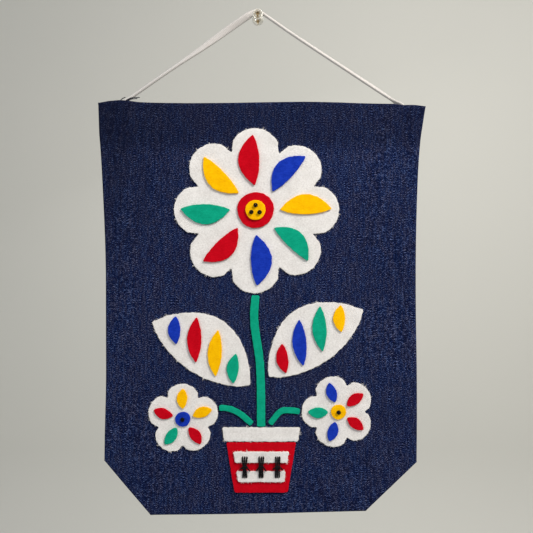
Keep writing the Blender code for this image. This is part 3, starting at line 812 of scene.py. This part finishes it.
def add_tufts(bm, loop, low, high, seed):
    """Here and there a whole yarn has come loose and stands out as a bunch of fibres."""
    chance = random.Random(seed)
    count = len(loop)
    for _ in range(round(count * OUTLINE_STEP / TUFT_EVERY)):
        i = chance.randrange(count)
        (ax, az), (bx, bz) = loop[i], loop[(i + 1) % count]
        lean = math.atan2(-(bx - ax), bz - az) + math.radians(chance.uniform(-40, 40))
        for _ in range(chance.randint(6, 11)):
            out = lean + math.radians(chance.uniform(-16, 16))
            x = ax + chance.uniform(-0.6, 0.6) * MM - math.cos(out) * 0.4 * MM
            z = az + chance.uniform(-0.6, 0.6) * MM - math.sin(out) * 0.4 * MM
            root = (x, surface(x, z) - chance.uniform(low + 0.2 * MM, high), z)
            add_fibre(bm, root, (math.cos(out), chance.uniform(-0.2, 0.05), math.sin(out)),
                      chance.uniform(*TUFT_LENGTHS), TUFT_RADIUS, 3, chance)


def make_fray(name, finish, slot, rows, spacing, lengths, radius, seed):
    """One mesh of fibres for several outlines of the same finish."""
    bm = bmesh.new()
    for i, (loop, low, high) in enumerate(rows):
        fray(bm, loop, low, high, spacing, lengths, radius, seed + i)
        if finish == "flannel":
            add_tufts(bm, loop, low, high, seed + 50 + i)
    return settle(make_piece(name, bm), finish, slot)


# Spacing, shortest and longest fibre, and radius
FLANNEL_FRAY = (0.36 * MM, (0.5 * MM, 2.2 * MM), 0.11 * MM)
FELT_FRAY = (0.6 * MM, (0.2 * MM, 0.9 * MM), 0.06 * MM)
for number, finish_name in enumerate(["flannel", *FELTS]):
    rows = [outlines[node] for node in sorted(outlines) if SLOTS[node] == finish_name]
    spacing, lengths, radius = FLANNEL_FRAY if finish_name == "flannel" else FELT_FRAY
    make_fray(f"{finish_name}_fray", finish_name, finish_name, rows, spacing, lengths,
                             radius, seed=100 * number)

# %% [markdown]
# ## The raw edge of the hem
# On the back, the hem is turned once, so its raw edge shows. Denim frays there into pale weft ends and
# dark warp ends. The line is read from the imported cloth: it is where the thick border steps down.

# %% Fray the hem's raw edge
HEM_SPACING = 0.9 * MM
HEM_LENGTHS = (0.6 * MM, 3.2 * MM)
HEM_FIBRE = 0.09 * MM
HEM_LINE_STEP = 2 * MM


def hem_line():
    """The closed line of (x, z) along the hem's raw edge."""
    bm = merged_copy("banner_cloth")
    bm.normal_update()
    step = [f for f in bm.faces if abs(f.normal.y) < 0.2
            and {layer_of(v) for v in f.verts} == {1, 2}]
    ahead = {}
    for face in step:
        for loop in face.loops:
            if layer_of(loop.vert) == 2 and layer_of(loop.link_loop_next.vert) == 2:
                ahead[loop.vert] = loop.link_loop_next.vert
    line = walk_round(ahead)
    bm.free()
    return line


def fray_hem(name, finish, slot, seed):
    """Fibres that stand from the hem's raw edge towards the middle of the back."""
    bm = bmesh.new()
    line = even_spacing(hem_line(), HEM_LINE_STEP)
    middle = Vector((sum(p[0] for p in line), sum(p[1] for p in line))) / len(line)
    (ax, az), (bx, bz) = line[0], line[1]
    right = Vector((bz - az, -(bx - ax)))
    if right.dot(middle - Vector(line[0])) < 0:
        line = line[::-1]
    fray(bm, line, -HEM_THICK, -CLOTH_THICK - 0.3 * MM, HEM_SPACING, HEM_LENGTHS, HEM_FIBRE, seed)
    return settle(make_piece(name, bm), finish, slot)


fray_hem("hem_fray_pale", "white_thread", "denim", 900)
fray_hem("hem_fray_dark", "dark_thread", "denim", 950)

# %% [markdown]
# ## Black yarn
# The knots and the ties are made of the same yarn: a two-ply section that turns as it is swept along
# its path. A few loose fibres stand out all over it.

# %% Sweep a twisted yarn
YARN_RADIUS = 0.56 * MM
YARN_TURN = 2.6 * MM
YARN_SIDES = 10
FUZZ_RADIUS = 0.035 * MM


def add_yarn(bm, path, radius=YARN_RADIUS, turn_length=YARN_TURN):
    """A two-ply yarn along a list of points, with rounded ends."""
    points = [Vector(p) for p in path]
    side = (points[1] - points[0]).orthogonal().normalized()
    rings, run = [], 0.0
    for i, point in enumerate(points):
        along = (points[min(i + 1, len(points) - 1)] - points[max(i - 1, 0)]).normalized()
        side = (side - along * side.dot(along)).normalized()
        other = along.cross(side)
        end = min(i, len(points) - 1 - i)
        size = radius * (0.55 if end == 0 else 0.9 if end == 1 else 1.0)
        turn = math.tau * run / turn_length
        ring = []
        for k in range(YARN_SIDES):
            a = math.tau * k / YARN_SIDES
            reach = size * (0.74 + 0.30 * math.cos(a - turn) ** 2)
            ring.append(bm.verts.new(point + side * math.cos(a) * reach + other * math.sin(a) * reach))
        rings.append(ring)
        if i + 1 < len(points):
            run += (points[i + 1] - point).length
    skin(bm, rings)


def fuzz_yarn(bm, path, count, radius, chance):
    """Loose fibres all over a yarn."""
    for _ in range(count):
        point = Vector(path[chance.randrange(1, len(path) - 1)])
        way = Vector([chance.gauss(0, 1) for _ in range(3)])
        way.y = -abs(way.y)
        way.normalize()
        root = point + way * radius * 0.8
        add_fibre(bm, root, way, chance.uniform(0.3, 1.0) * MM, FUZZ_RADIUS, 2, chance)


# %% [markdown]
# The flower centres are French knots: the yarn is wound a little over twice round the needle and
# drawn down, so it lies as a small bun of coils.

# %% Wind the knots
KNOT_WINDS = 2.3
KNOT_POINTS = 44
KNOT_FUZZ = 40  # loose fibres on each knot


def make_knot(node, seed):
    """A bun of yarn that winds in and up to its middle."""
    low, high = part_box(node)
    x, z = (low[0] + high[0]) / 2, (low[2] + high[2]) / 2
    base, reach = high[1], (high[0] - low[0]) / 2 - YARN_RADIUS
    chance = random.Random(seed)
    start = chance.uniform(0, math.tau)
    path = []
    for k in range(KNOT_POINTS):
        t = k / (KNOT_POINTS - 1)
        a = start + t * KNOT_WINDS * math.tau
        r = reach * (1.02 - 0.92 * t ** 2.2)
        rise = YARN_RADIUS * (0.85 + 2.0 * math.sin(math.pi * min(t * 1.08, 1.0) * 0.62))
        path.append((x + r * math.cos(a), base - rise, z + r * math.sin(a) * 0.94))
    path.append((x, base - YARN_RADIUS, z))
    bm = bmesh.new()
    add_yarn(bm, path)
    fuzz_yarn(bm, path, KNOT_FUZZ, YARN_RADIUS, chance)
    return settle(make_piece(f"wound_{node}", bm), "yarn", "yarn", node)


knot_nodes = sorted(node for node in SLOTS if node.startswith("knot_"))
knots = [make_knot(node, 300 + i) for i, node in enumerate(knot_nodes)]
print("knots:", len(knots))

# %% [markdown]
# Each tie on the pot is three strands side by side, knotted in the middle with two ends left free.

# %% Tie the strands on the pot
TIE_RADIUS = 0.82 * MM
STRAND_APART = 1.75 * MM
TAIL_LENGTH = 5.6 * MM
STRAND_POINTS, TAIL_POINTS, LOOP_POINTS = 25, 12, 30
STRAND_FUZZ, TAIL_FUZZ = 90, 50
LOOP_TURNS = 1.4


def make_tie(node, seed):
    """Three strands down the pot with a knot and two free ends in the middle."""
    low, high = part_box(node)
    x, z = (low[0] + high[0]) / 2, (low[2] + high[2]) / 2
    base = high[1]
    half = (high[2] - low[2]) / 2
    chance = random.Random(seed)
    bm = bmesh.new()
    for strand in (-1, 0, 1):
        path = []
        for k in range(STRAND_POINTS):
            t = 2 * k / (STRAND_POINTS - 1) - 1
            arch = 1 - abs(t) ** 4
            sway = 0.3 * MM * math.sin(t * 2.2 + strand + seed)
            gather = 0.75 + 0.6 * abs(t) ** 1.5 - 0.35 * abs(t) ** 8
            path.append((x + strand * STRAND_APART * gather + sway, base - TIE_RADIUS * (0.1 + arch),
                         z + t * half))
        add_yarn(bm, path, radius=TIE_RADIUS)
        fuzz_yarn(bm, path, STRAND_FUZZ, TIE_RADIUS, chance)
    for side in (-1, 1):
        drop = chance.uniform(0.35, 0.75)
        tail = []
        for k in range(TAIL_POINTS):
            t = k / (TAIL_POINTS - 1)
            tail.append((x + side * (0.8 * MM + TAIL_LENGTH * t * 0.75),
                         base - TIE_RADIUS * (2.0 - 0.8 * t),
                         z - TAIL_LENGTH * drop * t * t + side * 0.3 * MM * math.sin(t * 5)))
        add_yarn(bm, tail, radius=TIE_RADIUS * 0.85)
        fuzz_yarn(bm, tail, TAIL_FUZZ, TIE_RADIUS, chance)
    loop = []
    for k in range(LOOP_POINTS):
        t = k / (LOOP_POINTS - 1)
        a = math.tau * LOOP_TURNS * t
        loop.append((x + 2.5 * MM * math.cos(a), base - TIE_RADIUS * (1.8 + 0.5 * math.sin(a * 0.7)),
                     z + 1.1 * MM * math.sin(a) + 0.5 * MM * (t - 0.5)))
    add_yarn(bm, loop, radius=TIE_RADIUS * 0.9)
    fuzz_yarn(bm, loop, TAIL_FUZZ, TIE_RADIUS, chance)
    return settle(make_piece(f"tied_{node}", bm), "yarn", "yarn", node)


tie_nodes = sorted(node for node in SLOTS if node.startswith("pot_tie_"))
ties = [make_tie(node, 400 + i) for i, node in enumerate(tie_nodes)]
print("ties:", len(ties))

# %% [markdown]
# ## Sewing
# The tape's ends are sewn to the back of the hem with white thread, as two rows of small stitches.
# Where the left end goes in, three dark thread ends were left uncut, and they show from the front.

# %% Sew the tape's ends
THREAD_RADIUS = 0.2 * MM
STITCH, STITCH_GAP = 2.0 * MM, 1.1 * MM
STITCH_TURN = 0.9 * MM
STITCH_PARTS = 6
SEAM_START, SEAM_END = 2 * MM, 16 * MM  # from each end of the tape
ROW_OFFSET = 1.9 * MM
THREAD_END_RADIUS = 0.45 * MM
THREAD_END_TURN = 1.6 * MM
# x, y and z in millimetres
THREAD_ENDS = (
    ((-134.6, -6.9, -86.0), (-135.6, -7.3, -83.0), (-133.6, -7.6, -80.9), (-130.7, -7.4, -79.7)),
    ((-132.2, -7.6, -87.0), (-130.9, -8.0, -83.9), (-127.7, -8.2, -81.6), (-124.6, -8.2, -80.5),
     (-120.6, -7.9, -80.0), (-116.5, -7.4, -79.8)),
    ((-129.4, -7.6, -86.0), (-128.6, -8.2, -83.6), (-125.2, -8.5, -82.0), (-121.4, -8.4, -81.4),
     (-118.8, -8.0, -81.2)),
)


def make_stitches():
    """Two rows of stitches on the wall side of each end of the tape."""
    bm = bmesh.new()
    stations = tape_stations()
    for line in (stations, stations[::-1]):
        run, last = 0.0, SEAM_START
        for (centre, wide, thick), (ahead, _, _) in zip(line, line[1:]):
            step = ahead - centre
            run += step.length
            if run > SEAM_END:
                break
            if run < last + STITCH + STITCH_GAP:
                continue
            last = run
            out = thick if thick.y > 0 else -thick
            way = step.normalized()
            for row in (-ROW_OFFSET, ROW_OFFSET):
                base = centre + wide * row + out * TAPE_THICK * 0.46
                arch = [base + way * STITCH * (k / STITCH_PARTS - 0.5)
                        + out * THREAD_RADIUS * 1.3 * math.sin(math.pi * k / STITCH_PARTS)
                        for k in range(STITCH_PARTS + 1)]
                add_yarn(bm, arch, radius=THREAD_RADIUS, turn_length=STITCH_TURN)
    return settle(make_piece("tape_stitches", bm), "white_thread", "cotton")


def make_thread_ends():
    """Dark ends of thread that stand up at the left end of the tape."""
    bm = bmesh.new()
    for line in THREAD_ENDS:
        path = [Vector(p) * MM for p in smooth_line(line, 8)]
        add_yarn(bm, path, radius=THREAD_END_RADIUS, turn_length=THREAD_END_TURN)
    return settle(make_piece("thread_ends", bm), "dark_thread", "denim")


stitches = make_stitches()
thread_ends = make_thread_ends()
print("sewing:", len(stitches.data.polygons) + len(thread_ends.data.polygons), "faces")

# %% [markdown]
# ## The push pin
# The pin is a turned form, so one point is extruded along half of its outline and spun about its axis.
# The plastic is moulded on the needle, which shows through it. The plastic's outline is rounded with
# the same curve as the tape's path, because moulded plastic has no sharp corner.

# %% Spin the pin
PIN_SIDES, NEEDLE_SIDES = 72, 32
# Radius and y of the plastic body in millimetres, from the wall to the head
PIN_OUTLINE = (
    (0.0, 0.0), (2.6, 0.0), (4.9, 0.0), (5.45, -0.35), (5.5, -0.9), (5.4, -1.4), (4.7, -1.95),
    (3.5, -2.4), (2.85, -3.3), (2.62, -5.0), (2.6, -6.6), (2.68, -8.6), (2.95, -10.1), (3.7, -10.95),
    (4.75, -11.5), (5.15, -12.2), (5.15, -13.0), (4.75, -13.6), (4.2, -13.75), (3.6, -13.45),
    (1.8, -13.3), (0.0, -13.3),
)
# The same for the needle, from inside the plastic to its point in the wall
NEEDLE_OUTLINE = (
    (0.0, -9.0), (0.45, -9.0), (0.6, -8.8), (0.6, 0.0), (0.6, 6.8), (0.5, 8.0), (0.3, 9.2),
    (0.09, 9.95), (0.0, 10.0),
)


def spun(name, outline, sides):
    """Extrude one point along an outline of (radius, y) and spin it round the y axis."""
    deselect_all()
    bpy.ops.mesh.primitive_plane_add(size=MM)
    piece = bpy.context.object
    piece.name = piece.data.name = name
    bpy.ops.object.mode_set(mode="EDIT")
    bpy.ops.mesh.select_all(action="SELECT")
    bpy.ops.mesh.merge(type="CENTER")
    first = outline[0]
    bpy.ops.transform.translate(value=(first[0] * MM, first[1] * MM, 0))
    for (r0, y0), (r1, y1) in zip(outline, outline[1:]):
        bpy.ops.mesh.extrude_region_move(
            TRANSFORM_OT_translate={"value": ((r1 - r0) * MM, (y1 - y0) * MM, 0)})
    bpy.ops.mesh.select_all(action="SELECT")
    bpy.ops.mesh.spin(steps=sides, angle=math.tau, center=(0, 0, 0), axis=(0, 1, 0))
    bpy.ops.mesh.select_all(action="SELECT")
    bpy.ops.mesh.remove_doubles(threshold=0.004 * MM)
    bpy.ops.mesh.normals_make_consistent(inside=False)
    bpy.ops.object.mode_set(mode="OBJECT")
    bpy.ops.object.shade_smooth_by_angle(angle=math.radians(50))
    return piece


pin = settle(spun("pin_plastic", smooth_line(PIN_OUTLINE, 3), PIN_SIDES),
             "clear_plastic", "clear_plastic", "pin_body")
needle = settle(spun("pin_wire", NEEDLE_OUTLINE, NEEDLE_SIDES), "steel", "steel", "pin_needle")
print("pin:", len(pin.data.polygons), "faces, needle:", len(needle.data.polygons))

# %% [markdown]
# ## Finish the scene
# A seamless pale sweep stands well behind the banner. A soft light comes from the upper right, a
# weaker one from the left and one from behind, a fourth washes the sweep, and the sky is even. None
# of it belongs to the object.

# %% Floor, backdrop and lights
FLOOR_Z = -1.5
FLOOR_FRONT_Y = -3.0
BACK_Y = 1.6
BACK_TOP_Z = 2.0
SWEEP_RADIUS = 0.5
SWEEP_STEPS = 12
SWEEP_HALF = 10.0
BANNER_MIDDLE = (0.0, 0.0, -0.28)


def make_sweep():
    """A floor that curves up into a wall behind the banner."""
    bm = bmesh.new()
    profile = [(FLOOR_FRONT_Y, FLOOR_Z), (BACK_Y - SWEEP_RADIUS, FLOOR_Z)]
    for k in range(1, SWEEP_STEPS):
        a = math.radians(90) * k / SWEEP_STEPS
        profile.append((BACK_Y - SWEEP_RADIUS * (1 - math.sin(a)),
                        FLOOR_Z + SWEEP_RADIUS * (1 - math.cos(a))))
    profile += [(BACK_Y, FLOOR_Z + SWEEP_RADIUS), (BACK_Y, BACK_TOP_Z)]
    pairs = [[bm.verts.new((x, y, z)) for x in (-SWEEP_HALF, SWEEP_HALF)] for y, z in profile]
    for low, high in zip(pairs, pairs[1:]):
        bm.faces.new((low[0], low[1], high[1], high[0]))
    sweep_piece = make_piece("sweep", bm)
    paint = Finish("sweep_paint", roughness=0.9)
    soft = paint.noise(paint.scaled(1.5, 1.5, 1.5), detail=2)
    paint.colour(paint.blend(soft, colour(206, 206, 200), colour(212, 211, 205)))
    sweep_piece.data.materials.append(paint.material)


def add_light(name, place, aim, size, power, tint):
    """A square area light; only the key light is seen through the clear plastic."""
    data = bpy.data.lights.new(name, "AREA")
    data.size = size
    data.energy = power
    data.color = tint
    light = bpy.data.objects.new(name, data)
    light.location = place
    light.rotation_euler = (Vector(aim) - Vector(place)).to_track_quat("-Z", "Y").to_euler()
    light.visible_transmission = name == "key"
    bpy.context.scene.collection.objects.link(light)


make_sweep()
add_light("key", (0.85, -1.0, 1.05), BANNER_MIDDLE, 0.55, 30.0, (1.0, 0.95, 0.88))
add_light("fill", (-1.2, -1.1, 0.35), BANNER_MIDDLE, 1.4, 9.0, (0.88, 0.94, 1.0))
add_light("rim", (-0.4, 1.0, 0.8), BANNER_MIDDLE, 0.8, 6.0, (1.0, 1.0, 1.0))
add_light("wash", (1.3, -0.4, 0.9), (0.5, BACK_Y, -0.5), 1.6, 20.0, (1.0, 0.97, 0.92))
world = bpy.data.worlds.new("sky")
world.use_nodes = True
sky = world.node_tree.nodes["Background"].inputs
sky["Color"].default_value = (0.80, 0.82, 0.84, 1.0)
sky["Strength"].default_value = 0.36
bpy.context.scene.world = world
bpy.context.scene.view_settings.view_transform = "Standard"
print("lights:", len(bpy.data.lights))
